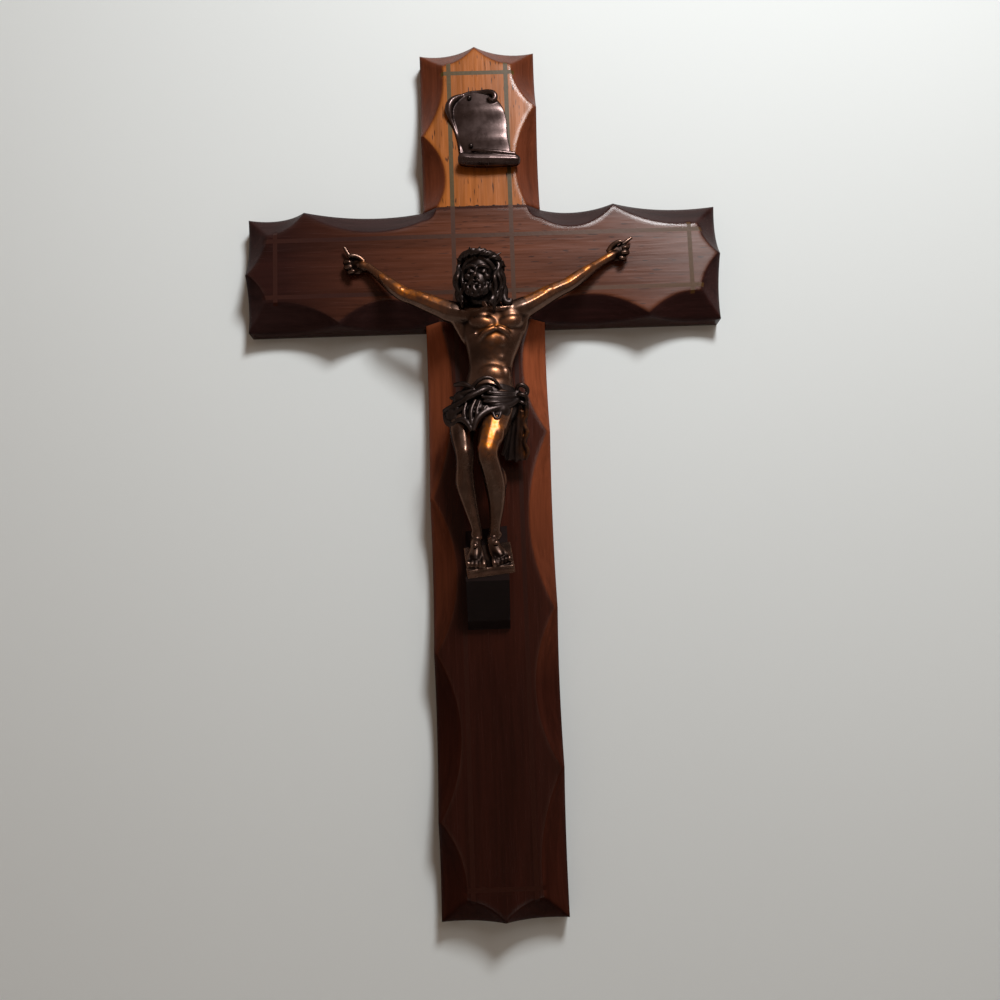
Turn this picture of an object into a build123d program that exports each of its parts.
from build123d import *
import os
from math import hypot

# Wall crucifix: a cross of two lapped beams with scooped edges and inlaid strips, a cast scroll and
# a cast figure. Millimetres. +Z runs up the upright, +X to the right as seen from the front, and the
# front faces -Y. The origin is the middle of the hanging hole's mouth, on the back of the upright.

# The two beams
cross_height = 400
bar_span = 220
beam_width = 55
beam_thickness = 18
lap_thickness = 9  # how much of the thickness the crossbar keeps in the lap
bar_drop = 108.5  # top end down to the crossbar's axis

# The blind hole for the wall nail
hang_drop = 40  # top end down to the hole
hang_radius = 4
hang_depth = 10

# The scoops carved along the front edges
long_scoop = 11  # in from the edge, in the middle of a scoop on a long edge
end_scoop = 9.8  # the same on the four ends
outer_corner_scoop = 9  # in from the edge at the outer corners, where the cut runs out
inner_corner_scoop = 6.5  # and at the inner corners of the cross
cusp_flat = 1.2  # in from the edge at the cusps between scoops
scoop_fall = 0.9  # how far a scoop drops down the side for each millimetre in from the edge

# Cusps along each edge, as shares of its length, clockwise as seen from the front
top_cusps = [0.48]
upper_right_cusps = [0.39]
bar_top_right_cusps = [0.41]
right_end_cusps = [0.47]
bar_bottom_right_cusps = [0.42]
lower_right_cusps = [0.2, 0.5, 0.76]
bottom_cusps = [0.5]
lower_left_cusps = [0.16, 0.43, 0.69]
bar_bottom_left_cusps = [0.48]
left_end_cusps = [0.46]
bar_top_left_cusps = [0.33]
upper_left_cusps = [0.44]

# The inlaid strips
inlay_margin = 14  # beam's edge or end to the middle of a strip
inlay_width = 2
inlay_depth = 1.2

# The scroll on the top arm
scroll_drop = 42  # top end down to the scroll's middle
scroll_shift = 1
scroll_width = 26
scroll_height = 36
scroll_thickness = 2.6
scroll_round = 0.5  # rounding of its front edge
roll_radius = 3.4  # thick end of the roll along its lower edge
roll_taper = 0.8  # how much thinner the other end is
roll_overhang = 3.5  # how far the roll runs out past the sheet on the right
curl_radius = 2.1  # curl on its upper edge
curl_height = 4
ear_radius = 1.6  # turned-over upper left corner
# Outline of the scroll's sheet, as shares of its half width and half height
scroll_lower_left = (-0.78, -0.92)
scroll_left_bend = (-0.9, -0.34)
scroll_waist_left = (-1.12, 0.22)
scroll_ear_bend = (-1.3, 0.52)
scroll_ear_end = (-0.92, 0.84)
scroll_top_bend = (-0.4, 1.02)
scroll_brow = (0.27, 0.94)
scroll_brow_bend = (0.7, 0.66)
scroll_waist_right = (0.94, 0.28)
scroll_right_bend = (0.96, -0.22)
scroll_lower_right = (1.1, -0.78)
ear_shares = [(-1.2, 0.4), (-1.14, 0.62), (-0.84, 0.82)]  # along the turned-over corner
curl_share = (0.32, 0.84)
pin_radius = 0.6
pin_head = 1.1
pin_length = 7
pin_shift = 5  # from the scroll's middle line to the pins
lower_pin_drop = 10  # from the scroll's middle down to the lower pin
upper_pin_rise = 14

# The foot block, its screw, and the plate on it
block_width = 18.5
block_shift = -2.9
block_depth = 19.5
block_fall = 29.5  # middle of the plate down to the block's lowest edge
block_brow = 9.6  # middle of the plate down to the top of the block's front face
block_toe = 5.5  # how far its lower end stands out of the upright
block_bevel = 3.5  # height of the bevel under its lower end
foot_slope = 49  # fall of the block's top face, from the level
foot_roll = 6  # lean of that face to the left
plate_width = 20.6
plate_back = 7  # plate's middle to its back edge
plate_front = 10.5  # plate's middle to its lower front edge; its front is cut plumb
plate_thickness = 2.5
screw_radius = 1.75
screw_head = 3.5
screw_length = 27
screw_rise = 17  # from the block's lowest edge up to the screw
screw_angle = 90
slot_width = 0.9
slot_depth = 1.1

# Nails of the figure, and the room around every nail, pin and screw
nail_radius = 0.7
nail_head = 1.5
nail_in_wood = 7
head_dome = 0.7  # height of a nail's or pin's domed head, against its radius
fit_room = 0.05

# The figure. Places are to the right of the middle, out from the front face and up from the
# crossbar's axis. Rings of the body are level: place, half width and half depth.
torso_rings = [
    (1.4, 11.5, -24.5, 7.5, 5.5), (1.8, 11.3, -28, 13.4, 7.4), (2.6, 11.3, -35, 14.6, 9),
    (2.8, 11.2, -43, 12.4, 8.6), (1.4, 11, -52, 10.2, 7.3), (0.8, 11, -61, 11.2, 7.8),
    (-0.6, 11.5, -70, 13.5, 8.6), (-1.5, 12.5, -78, 11.5, 8),
]
cloth_rings = [
    (0.5, 11.3, -61, 12.2, 8.7), (-0.8, 12.5, -66, 15.2, 10.3),
    (-2.2, 14, -73, 17, 11.6), (-3, 16, -80, 14.6, 11.4),
]
tail_rings = [
    (15.2, 15, -68, 2.6, 2), (14, 12, -77, 4.4, 2), (11.2, 9, -87, 6.2, 1.8), (11.6, 7.5, -95, 4.8, 1.2),
]
# Limbs are round: place and radius, square to their run
leg_left = [
    (-7.5, 12, -68, 7.6), (-11.6, 16, -80, 6.2), (-11.2, 20.5, -92, 4.2),
    (-11, 17, -105, 4.2), (-8.6, 14.3, -117, 3), (-6.6, 12.7, -129, 2.3),
]
leg_right = [
    (6, 12, -68, 7.8), (2.2, 18.5, -80, 6.8), (-1.2, 24, -92, 4.8),
    (1.6, 19.5, -106, 4.6), (1.6, 15, -118, 3.3), (0.6, 12.7, -129, 2.5),
]
arm_left_run = [
    (-6, 11.5, -29.5, 5), (-13.5, 11.5, -28, 5.2), (-24, 10.5, -22.5, 4.1),
    (-35.5, 9, -17.8, 3.2), (-42.5, 7.2, -12, 3.1), (-52.7, 3.6, -1.8, 2.1),
]
arm_right_run = [
    (9, 11.5, -28.5, 5), (16.5, 11.5, -26.5, 5.2), (26.5, 10.5, -20.6, 4.1),
    (37.5, 9, -15.2, 3.3), (44.5, 7.2, -10, 3.1), (56.2, 3.6, -1.4, 2.1),
]
neck_run = [(1.4, 11.5, -30, 6), (0.4, 14, -24, 5.2), (-1, 17, -17, 5.4)]
hair_locks = [
    [(-11.5, 16.5, -16, 2), (-12, 16, -23, 2.1), (-9.5, 17, -29, 1)],
    [(8.8, 16.5, -16, 2), (10.6, 16, -22, 2.2), (9.6, 18, -28, 1)],
]
breasts = [(-4.6, 16.2, -34), (9.4, 16.2, -33.6)]
breast_size = (7.4, 4.2, 4.6)  # half width, half depth, half height
cloth_folds = [
    [(-12.5, 17, -62.5), (1, 22.4, -66), (14.5, 17, -66.5)],
    [(-18, 16, -68), (-2, 26.4, -75), (15, 18, -68)],
    [(-17, 18, -76.5), (-5, 28, -82), (12.5, 21, -71)],
]
fold_radius = 1.5
knot_place = (15.4, 16.5, -67.5)
knot_radius = 3
tenon_radius = 3.2  # round tenon of each arm in the shoulder
tenon_length = 6

# The head, about its own middle. Rings: up, forward, half width, half depth.
head_place = (-1.8, 18.5, -14.2)
head_lean = 6  # crown over to the right
head_turn = 12  # face round to the left
skull_rings = [
    (-11.5, 4.5, 2.6, 3.4), (-7, 2.4, 6, 7), (-1, 0.4, 7.8, 9.4),
    (4, -0.4, 7.9, 9.6), (8.2, -0.6, 6, 7.4), (10.6, -0.8, 2.2, 2.8),
]
hair_rings = [
    (-14, -4.6, 9.4, 3.8), (-7, -3.4, 11.6, 6.8), (0, -2, 11.9, 8.8),
    (5.5, -1, 10.4, 9.6), (9.4, -0.8, 7, 7.6), (11.6, -0.8, 2.4, 3),
]
beard_rings = [(-5.5, 6.6, 5.4, 2.2), (-11, 7.2, 5, 4), (-15.5, 6.6, 1.8, 1.8)]
nose_rings = [(1.5, 9.6, 0.8, 1), (-3, 10.4, 1.3, 1.4)]
crown_radius = 9.4
crown_cord = 1.25
crown_rise = 7

# The hands, along the hand from the wrist. Palm sections: along, out, half width, half thickness.
hand_room = 0.2  # back of a hand to the crossbar
palm_thickness = 3.4
palm_sections = [(-1, 1.5, 2.1, 2), (3.5, 0, 3.4, 1.7), (8, 0, 3.9, 1.5), (9.4, 0.2, 3.1, 1)]
finger_radius = 0.95
finger_places = [-3, -1, 1]
finger_curl = [(7.6, 0.2), (11, 1.4), (8.6, 3.6)]
nail_along = 4.5  # wrist to the nail
hand_left_run = (-0.98, 0, 0.2)
hand_right_run = (0.87, 0, 0.49)
# Thumb and straight finger: along the hand, to its thumb side and out
thumb_run = [(3.2, 2.8, 0.6), (9, 2.4, 3.4)]
pointer_root = (7, 3, 0)
pointer_left = (13, 7.8, 1)
pointer_right = (16, 3, 1)

# The feet, on the plate. Sections: up the slope, half width, half height.
ankle_rise = 6  # ankle above the block's top face
ankle_back = 7.4  # plate's middle back to the ankle
foot_sections = [(10.5, 1.8, 1.6), (8, 2.7, 2.8), (3, 2.9, 2.7), (-2, 3.6, 1.9), (-5, 3.8, 1.4)]
foot_left_ends = (-4.6, -5.9)  # heel and toes to the right of the plate's middle
foot_right_ends = (2.4, 5.2)
toe_spacing = 1.55
big_toe_radius = 1.2
small_toe_radius = 0.85
toe_start = -4
toe_length = 3.2
toe_step = 0.3  # each toe outwards is this much shorter
foot_nail_up = 1.5  # plate's middle up the slope to the nails
foot_nail_grip = 5  # how far the foot nails go into the block

# Worked out from the sizes above
half_width = beam_width / 2
half_span = bar_span / 2
top_z = hang_drop
foot_z = top_z - cross_height
bar_z = top_z - bar_drop
bar_top_z = bar_z + half_width
bar_bottom_z = bar_z - half_width
front_y = -beam_thickness
lap_y = front_y + lap_thickness
strip_offset = half_width - inlay_margin
outward = Vector(0, -1, 0)
rightward = Vector(1, 0, 0)
upward = Vector(0, 0, 1)
standing_on = (Align.CENTER, Align.CENTER, Align.MIN)
hanging_under = (Align.CENTER, Align.CENTER, Align.MAX)
behind_front = (Align.CENTER, Align.MIN, Align.CENTER)
before_back = (Align.CENTER, Align.MAX, Align.CENTER)


def figure_point(x, out, up):
    """Point to the right of the middle, out from the front face and up from the crossbar's axis."""
    return Vector(x, front_y - out, bar_z + up)


def scoop_cutter(start, end, side, cusps, depth, open_start, open_end):
    """Solid that hollows one front edge, run clockwise: arcs drawn square to the scoop's slope.

    An open end is an outer corner, where the cut runs on into the air.
    """
    start = Vector(start[0], front_y, start[1])
    end = Vector(end[0], front_y, end[1])
    along = (end - start).normalized()
    length = (end - start).length
    slope_length = hypot(1, scoop_fall)
    rise = (outward * scoop_fall - side) / slope_length
    sink = scoop_fall / slope_length
    reach = 2 * depth
    stops = [0] + [share * length for share in cusps] + [length]
    ends = [outer_corner_scoop if is_open else inner_corner_scoop for is_open in (open_start, open_end)]
    insets = [ends[0]] + [cusp_flat] * len(cusps) + [ends[1]]
    marks = [(stop, -inset * sink) for stop, inset in zip(stops, insets)]
    first = (marks[0][0] - (reach if open_start else 0), marks[0][1])
    last = (marks[-1][0] + (reach if open_end else 0), marks[-1][1])
    with BuildPart(mode=Mode.PRIVATE) as cutter:
        with BuildSketch(Plane(start, x_dir=along, z_dir=rise)):
            with BuildLine():
                if open_start:
                    Line(first, marks[0])
                for left, right in zip(marks, marks[1:]):
                    ThreePointArc(left, ((left[0] + right[0]) / 2, -depth * sink), right)
                if open_end:
                    Line(marks[-1], last)
                Polyline(last, (last[0], reach), (first[0], reach), first)
            make_face()
        extrude(amount=reach, both=True)
    return cutter.part


def corner_cone(x, z):
    """Cone that carries the scoops round one inner corner of the cross."""
    drop = inner_corner_scoop * scoop_fall
    with BuildPart(mode=Mode.PRIVATE) as cone:
        with Locations(Plane((x, front_y + drop, z), x_dir=rightward, z_dir=outward)):
            Cone(0, 2 * inner_corner_scoop, 2 * drop, align=standing_on)
    return cone.part


def strip_box(low, high):
    """Strip between two corners (x, z) of the front face, let in flush."""
    middle = ((low[0] + high[0]) / 2, front_y, (low[1] + high[1]) / 2)
    with BuildPart(mode=Mode.PRIVATE) as strip:
        with Locations(middle):
            Box(high[0] - low[0], inlay_depth, high[1] - low[1], align=behind_front)
    return strip.part


def oval(plane, across, deep):
    """Oval section on a plane."""
    with BuildSketch(plane) as section:
        Ellipse(across, deep)
    return section.sketch


def level_sections(rings):
    """Level oval sections of the body."""
    return [oval(Plane(figure_point(x, out, up)), across, deep) for x, out, up, across, deep in rings]


def limb_sections(stations, guide):
    """Round sections square to a limb's run, all turned the same way about it."""
    points = [figure_point(x, out, up) for x, out, up, radius in stations]
    befores = points[:1] + points[:-1]
    afters = points[1:] + points[-1:]
    sections = []
    for point, before, after, station in zip(points, befores, afters, stations):
        run = (after - before).normalized()
        side = (guide - run * guide.dot(run)).normalized()
        sections.append(oval(Plane(point, x_dir=side, z_dir=run), station[3], station[3]))
    return sections


def arc_through(points):
    """Arc through three points in space."""
    with BuildLine() as path:
        ThreePointArc(*points)
    return path.line


def path_disc(path, radius):
    """Round section at the start of a path."""
    return oval(Plane(path @ 0, z_dir=path % 0), radius, radius)


def round_ended_tube(path, radius):
    """Tube along a path with a ball on each end."""
    with BuildPart(mode=Mode.PRIVATE) as tube:
        sweep(sections=path_disc(path, radius), path=path)
        with Locations(path @ 0, path @ 1):
            Sphere(radius)
    return tube.part


def head_sections(rings):
    """Oval sections across the head's own axis."""
    places = [head_plane.from_local_coords((0, -forward, up)) for up, forward, across, deep in rings]
    planes = [Plane(place, head_plane.x_dir, head_plane.z_dir) for place in places]
    return [oval(plane, ring[2], ring[3]) for plane, ring in zip(planes, rings)]


def scroll_spot(share):
    """Place on the scroll's sheet from its middle."""
    return (share[0] * scroll_width / 2, share[1] * scroll_height / 2)


def headed_pin(plane, radius, length, head_radius):
    """Pin along a plane's axis: a pointed shank below the plane and a domed head on it."""
    dome = head_radius * head_dome
    cap_radius = (head_radius**2 + dome**2) / (2 * dome)
    with BuildPart(mode=Mode.PRIVATE) as pin:
        with BuildSketch(Plane.XZ):
            with BuildLine():
                Polyline((0, -length), (radius, -length + 2 * radius), (radius, 0), (head_radius, 0))
                RadiusArc((head_radius, 0), (0, dome), -cap_radius)
                Line((0, dome), (0, -length))
            make_face()
        revolve(axis=Axis.Z)
    return plane.location * pin.part


def pin_room(plane, radius, length):
    """Hole for a pin, along a plane's axis."""
    with BuildPart(mode=Mode.PRIVATE) as room:
        with Locations(plane):
            Cylinder(radius + fit_room, length + fit_room, align=hanging_under)
    return room.part


def hand_frame(arm_run, hand_run):
    """Plane of a hand, from the wrist along the hand, with its axis out of the palm."""
    wrist = figure_point(*arm_run[-1][:3])
    middle = front_y - hand_room - palm_thickness / 2
    return Plane((wrist.X, middle, wrist.Z), x_dir=hand_run, z_dir=outward)


def cast_hand(hand, thumb_side, pointer_tip):
    """Hand with its palm to the front: curled fingers, one straight finger and the thumb."""
    sections = []
    for along, out, across, deep in palm_sections:
        plane = Plane(hand.from_local_coords((along, 0, out)), x_dir=hand.y_dir, z_dir=hand.x_dir)
        sections.append(oval(plane, across, deep))
    with BuildPart(mode=Mode.PRIVATE) as cast:
        loft(sections)
        for place in finger_places:
            curl = arc_through([hand.from_local_coords((x, place * thumb_side, z)) for x, z in finger_curl])
            add(round_ended_tube(curl, finger_radius))
        for run in ((pointer_root, pointer_tip), thumb_run):
            ends = [hand.from_local_coords((x, side * thumb_side, out)) for x, side, out in run]
            add(round_ended_tube(Edge.make_line(*ends), finger_radius))
    return cast.part


def foot_section_list(ends):
    """Sections of a foot from heel to toes, standing on the plate."""
    heel_up = foot_sections[0][0]
    toe_up = foot_sections[-1][0]
    sections = []
    for up, across, high in foot_sections:
        share = (heel_up - up) / (heel_up - toe_up)
        x = ends[0] + (ends[1] - ends[0]) * share
        place = foot_plane.from_local_coords((x, up, plate_thickness + high - fit_room))
        sections.append(oval(Plane(place, x_dir=foot_plane.x_dir, z_dir=foot_plane.y_dir), across, high))
    return sections


def cast_toes(ends, big_toe_side):
    """Five toes of one foot, from the big toe outwards."""
    toes = []
    for toe in range(5):
        across = ends[1] + big_toe_side * (2 - toe) * toe_spacing
        radius = big_toe_radius if toe == 0 else small_toe_radius
        high = plate_thickness + radius - fit_room
        root = foot_plane.from_local_coords((across, toe_start, high))
        tip = foot_plane.from_local_coords((across, toe_start - toe_length + toe * toe_step, high))
        toes.append(round_ended_tube(Edge.make_line(root, tip), radius))
    return toes


# Frames of the head, hands and feet
head_up = upward.rotate(Axis.Y, head_lean)
head_side = rightward.rotate(Axis.Z, -head_turn).rotate(Axis.Y, head_lean)
head_plane = Plane(figure_point(*head_place), x_dir=head_side, z_dir=head_up)
foot_normal = upward.rotate(Axis.X, foot_slope).rotate(Axis.Y, -foot_roll)
foot_side = rightward.rotate(Axis.Y, -foot_roll)
foot_up = foot_normal.cross(foot_side)
ankles = (figure_point(*leg_left[-1][:3]) + figure_point(*leg_right[-1][:3])) / 2
foot_plane = Plane(ankles - foot_normal * ankle_rise - foot_up * ankle_back, foot_side, foot_normal)
block_low_z = foot_plane.origin.Z - block_fall
hand_left = hand_frame(arm_left_run, hand_left_run)
hand_right = hand_frame(arm_right_run, hand_right_run)

# Where the nails, pins and screw stand
scroll_face = Plane((scroll_shift, front_y, top_z - scroll_drop), x_dir=rightward, z_dir=outward)
pin_planes = [
    Plane(scroll_face.from_local_coords((-pin_shift, up, scroll_thickness)), rightward, outward)
    for up in (-lower_pin_drop, upper_pin_rise)
]
hand_nail_planes = [
    Plane(hand.from_local_coords((nail_along, 0, palm_thickness / 2)), rightward, outward)
    for hand in (hand_left, hand_right)
]
hand_nail_length = palm_thickness + hand_room + nail_in_wood
foot_nail_rise = plate_thickness + 2 * foot_sections[2][2]
foot_nail_planes = []
for ends in (foot_left_ends, foot_right_ends):
    place = foot_plane.from_local_coords((sum(ends) / 2, foot_nail_up, foot_nail_rise))
    foot_nail_planes.append(Plane(place, foot_side, foot_normal))
foot_nail_length = foot_nail_rise + foot_nail_grip
screw_plane = Plane((block_shift, 0, block_low_z + screw_rise), x_dir=rightward, z_dir=(0, 1, 0))

# The rooms of those nails and pins
pin_rooms = [pin_room(plane, pin_radius, pin_length) for plane in pin_planes]
hand_nail_rooms = [pin_room(plane, nail_radius, hand_nail_length) for plane in hand_nail_planes]
foot_nail_rooms = [pin_room(plane, nail_radius, foot_nail_length) for plane in foot_nail_planes]

# Corners of the cross, and its front edges clockwise: ends, side that faces out, cusps, depth, and
# whether each end is an outer corner
top_left = (-half_width, top_z)
top_right = (half_width, top_z)
inner_top_right = (half_width, bar_top_z)
end_top_right = (half_span, bar_top_z)
end_bottom_right = (half_span, bar_bottom_z)
inner_bottom_right = (half_width, bar_bottom_z)
foot_right = (half_width, foot_z)
foot_left = (-half_width, foot_z)
inner_bottom_left = (-half_width, bar_bottom_z)
end_bottom_left = (-half_span, bar_bottom_z)
end_top_left = (-half_span, bar_top_z)
inner_top_left = (-half_width, bar_top_z)
upright_edges = [
    (top_left, top_right, upward, top_cusps, end_scoop, True, True),
    (top_right, inner_top_right, rightward, upper_right_cusps, long_scoop, True, False),
    (inner_bottom_right, foot_right, rightward, lower_right_cusps, long_scoop, False, True),
    (foot_right, foot_left, -upward, bottom_cusps, end_scoop, True, True),
    (foot_left, inner_bottom_left, -rightward, lower_left_cusps, long_scoop, True, False),
    (inner_top_left, top_left, -rightward, upper_left_cusps, long_scoop, False, True),
]
bar_edges = [
    (inner_top_right, end_top_right, upward, bar_top_right_cusps, long_scoop, False, True),
    (end_top_right, end_bottom_right, rightward, right_end_cusps, end_scoop, True, True),
    (end_bottom_right, inner_bottom_right, -upward, bar_bottom_right_cusps, long_scoop, True, False),
    (inner_bottom_left, end_bottom_left, -upward, bar_bottom_left_cusps, long_scoop, False, True),
    (end_bottom_left, end_top_left, -rightward, left_end_cusps, end_scoop, True, True),
    (end_top_left, inner_top_left, upward, bar_top_left_cusps, long_scoop, True, False),
]
upright_scoops = [scoop_cutter(*edge) for edge in upright_edges]
bar_scoops = [scoop_cutter(*edge) for edge in bar_edges]
inner_corners = (inner_top_right, inner_bottom_right, inner_bottom_left, inner_top_left)
bar_scoops += [corner_cone(*corner) for corner in inner_corners]

# Grooves for the strips, before the scoops cut them off
half_strip = inlay_width / 2
standing_grooves = {}
for name, x, low, high in (
    ("inlay_upright_left", -strip_offset, foot_z, top_z),
    ("inlay_upright_right", strip_offset, foot_z, top_z),
    ("inlay_end_left", inlay_margin - half_span, bar_bottom_z, bar_top_z),
    ("inlay_end_right", half_span - inlay_margin, bar_bottom_z, bar_top_z),
):
    standing_grooves[name] = strip_box((x - half_strip, low), (x + half_strip, high))
level_grooves = {}
for name, z, reach in (
    ("inlay_bar_upper", bar_z + strip_offset, half_span),
    ("inlay_bar_lower", bar_z - strip_offset, half_span),
    ("inlay_top", top_z - inlay_margin, half_width),
    ("inlay_foot", foot_z + inlay_margin, half_width),
):
    level_grooves[name] = strip_box((-reach, z - half_strip), (reach, z + half_strip))
all_grooves = list(standing_grooves.values()) + list(level_grooves.values())

# Upright, notched on its front for the crossbar
with BuildPart() as upright:
    with Locations((0, 0, foot_z)):
        Box(beam_width, beam_thickness, cross_height, align=(Align.CENTER, Align.MAX, Align.MIN))
    with Locations((0, lap_y, bar_z)):
        Box(beam_width, lap_thickness, beam_width, align=before_back, mode=Mode.SUBTRACT)
    add(upright_scoops, mode=Mode.SUBTRACT)
    add(all_grooves, mode=Mode.SUBTRACT)
    with Locations(Plane((0, 0, 0), x_dir=rightward, z_dir=(0, 1, 0))):
        Hole(hang_radius, hang_depth)
    with Locations(screw_plane):
        CounterSinkHole(screw_radius + fit_room, screw_head + fit_room, counter_sink_angle=screw_angle)
    add(pin_rooms, mode=Mode.SUBTRACT)

# Crossbar, notched on its back and lying flush over the upright
with BuildPart() as crossbar:
    with Locations((0, 0, bar_z)):
        Box(bar_span, beam_thickness, beam_width, align=before_back)
        Box(beam_width, -lap_y, beam_width, align=before_back, mode=Mode.SUBTRACT)
    add(bar_scoops, mode=Mode.SUBTRACT)
    add(all_grooves, mode=Mode.SUBTRACT)
    add(hand_nail_rooms, mode=Mode.SUBTRACT)

# Strips: the standing ones run through, the level ones butt against them
strips = []
for name, groove in {**standing_grooves, **level_grooves}.items():
    with BuildPart() as strip:
        add(groove)
        add(upright_scoops + bar_scoops, mode=Mode.SUBTRACT)
        if name in level_grooves:
            add(list(standing_grooves.values()), mode=Mode.SUBTRACT)
    strip.part.label = name
    strips.append(strip.part)

# Scroll: a sheet with wavy sides, rolled along its lower edge and curled at its upper corners
with BuildPart() as titulus_scroll:
    with BuildSketch(scroll_face):
        with BuildLine():
            for corner, bend, next_corner in (
                (scroll_lower_left, scroll_left_bend, scroll_waist_left),
                (scroll_waist_left, scroll_ear_bend, scroll_ear_end),
                (scroll_ear_end, scroll_top_bend, scroll_brow),
                (scroll_brow, scroll_brow_bend, scroll_waist_right),
                (scroll_waist_right, scroll_right_bend, scroll_lower_right),
            ):
                ThreePointArc(scroll_spot(corner), scroll_spot(bend), scroll_spot(next_corner))
            Line(scroll_spot(scroll_lower_right), scroll_spot(scroll_lower_left))
        make_face()
    extrude(amount=scroll_thickness)
    front_edges = titulus_scroll.faces().sort_by(Axis.Y)[0].edges()
    fillet(front_edges, radius=min(scroll_round, scroll_thickness / 3))
    roll_left, roll_up = scroll_spot(scroll_lower_left)
    roll_run = scroll_spot(scroll_lower_right)[0] + roll_overhang - roll_left
    roll_start = scroll_face.from_local_coords((roll_left, roll_up, roll_radius))
    with Locations(Plane(roll_start, x_dir=outward, z_dir=rightward)):
        Cone(roll_radius, roll_radius - roll_taper, roll_run, align=standing_on)
    curl_place = scroll_face.from_local_coords(scroll_spot(curl_share))
    with Locations(Plane(curl_place, x_dir=rightward, z_dir=outward)):
        Cylinder(curl_radius, curl_height, align=standing_on)
    ear = [scroll_face.from_local_coords((*scroll_spot(share), ear_radius)) for share in ear_shares]
    add(round_ended_tube(arc_through(ear), ear_radius))
    add(pin_rooms, mode=Mode.SUBTRACT)
titulus_scroll.part.label = "titulus_scroll"

# Foot block: a wedge, sloped on top to carry the plate and bevelled under its lower end
with BuildPart() as foot_block:
    with BuildSketch(Plane.YZ.offset(block_shift - block_width / 2)):
        with BuildLine():
            Polyline(
                (front_y, block_low_z),
                (front_y - block_toe, block_low_z + block_bevel),
                (front_y - block_depth, foot_plane.origin.Z - block_brow),
                (front_y - block_depth, foot_plane.origin.Z + block_fall),
                (front_y, foot_plane.origin.Z + block_fall),
                close=True,
            )
        make_face()
    extrude(amount=block_width)
    split(bisect_by=foot_plane, keep=Keep.BOTTOM)
    add(foot_nail_rooms, mode=Mode.SUBTRACT)
    add(pin_room(screw_plane, screw_radius, screw_length), mode=Mode.SUBTRACT)
foot_block.part.label = "foot_block"

# Countersunk screw from the back of the upright into the foot block
with BuildPart() as foot_block_screw:
    with BuildSketch(Plane.XZ):
        with BuildLine():
            Polyline(
                (0, 0), (screw_head, 0), (screw_radius, screw_radius - screw_head),
                (screw_radius, -screw_length + 2 * screw_radius), (0, -screw_length), close=True,
            )
        make_face()
    revolve(axis=Axis.Z)
    Box(3 * screw_head, slot_width, 2 * slot_depth, mode=Mode.SUBTRACT)
foot_block_screw_part = screw_plane.location * foot_block_screw.part
foot_block_screw_part.label = "foot_block_screw"

# Figure: body, head, loincloth, legs, feet and the plate under them, cast in one
breast_eggs = [Location(figure_point(*place)) * scale(Sphere(1), by=breast_size) for place in breasts]
fold_arcs = [arc_through([figure_point(*place) for place in fold]) for fold in cloth_folds]
fold_rolls = [round_ended_tube(arc, fold_radius) for arc in fold_arcs]
toes = cast_toes(foot_left_ends, 1) + cast_toes(foot_right_ends, -1)
with BuildPart() as plate:
    with BuildSketch(foot_plane):
        with Locations((0, (plate_back - plate_front) / 2)):
            Rectangle(plate_width, plate_back + plate_front)
    extrude(amount=plate_thickness)
    plate_edge = foot_plane.from_local_coords((0, -plate_front, 0))
    split(bisect_by=Plane(plate_edge, x_dir=rightward, z_dir=outward), keep=Keep.BOTTOM)
with BuildPart() as corpus:
    loft(level_sections(torso_rings))
    for run in (neck_run, leg_left, leg_right, *hair_locks):
        loft(limb_sections(run, rightward))
    for rings in (cloth_rings, tail_rings):
        loft(level_sections(rings))
    for rings in (hair_rings, skull_rings, beard_rings, nose_rings):
        loft(head_sections(rings))
    for form in breast_eggs + fold_rolls:
        add(form)
    with Locations(figure_point(*knot_place)):
        Sphere(knot_radius)
    crown_place = head_plane.from_local_coords((0, 0, crown_rise))
    with Locations(Plane(crown_place, head_plane.x_dir, head_plane.z_dir)):
        Torus(crown_radius, crown_cord)
    for ends in (foot_left_ends, foot_right_ends):
        loft(foot_section_list(ends))
    add(plate.part)
    for toe in toes:
        add(toe)
    for run in (arm_left_run, arm_right_run):
        root = figure_point(*run[0][:3])
        reach = figure_point(*run[1][:3]) - root
        with Locations(Plane(root, z_dir=reach)):
            Cylinder(tenon_radius, 2 * tenon_length, align=standing_on, mode=Mode.SUBTRACT)
    add(foot_nail_rooms, mode=Mode.SUBTRACT)
corpus.part.label = "corpus"

# Arms with their hands, let into the shoulders by a round tenon
arms = []
for name, run, hand, thumb_side, pointer in (
    ("arm_left", arm_left_run, hand_left, -1, pointer_left),
    ("arm_right", arm_right_run, hand_right, 1, pointer_right),
):
    cast = cast_hand(hand, thumb_side, pointer)
    with BuildPart() as arm:
        loft(limb_sections(run, upward))
        add(cast)
        add(corpus.part, mode=Mode.SUBTRACT)
        add(hand_nail_rooms, mode=Mode.SUBTRACT)
    arm.part.label = name
    arms.append(arm.part)

# Nails and pins, each kind a group
fixings = [foot_block_screw_part]
for name, planes, radius, length, head in (
    ("titulus_pins", pin_planes, pin_radius, pin_length, pin_head),
    ("hand_nails", hand_nail_planes, nail_radius, hand_nail_length, nail_head),
    ("foot_nails", foot_nail_planes, nail_radius, foot_nail_length, nail_head),
):
    group = Compound(children=[headed_pin(plane, radius, length, head) for plane in planes])
    group.label = name
    fixings.append(group)
upright.part.label = "upright"
crossbar.part.label = "crossbar"

os.makedirs("parts", exist_ok=True)
beams = [upright.part, crossbar.part]
castings = [titulus_scroll.part, corpus.part] + arms
for piece in beams + strips + [foot_block.part] + castings + fixings:
    export_step(piece, "parts/" + piece.label + ".step")
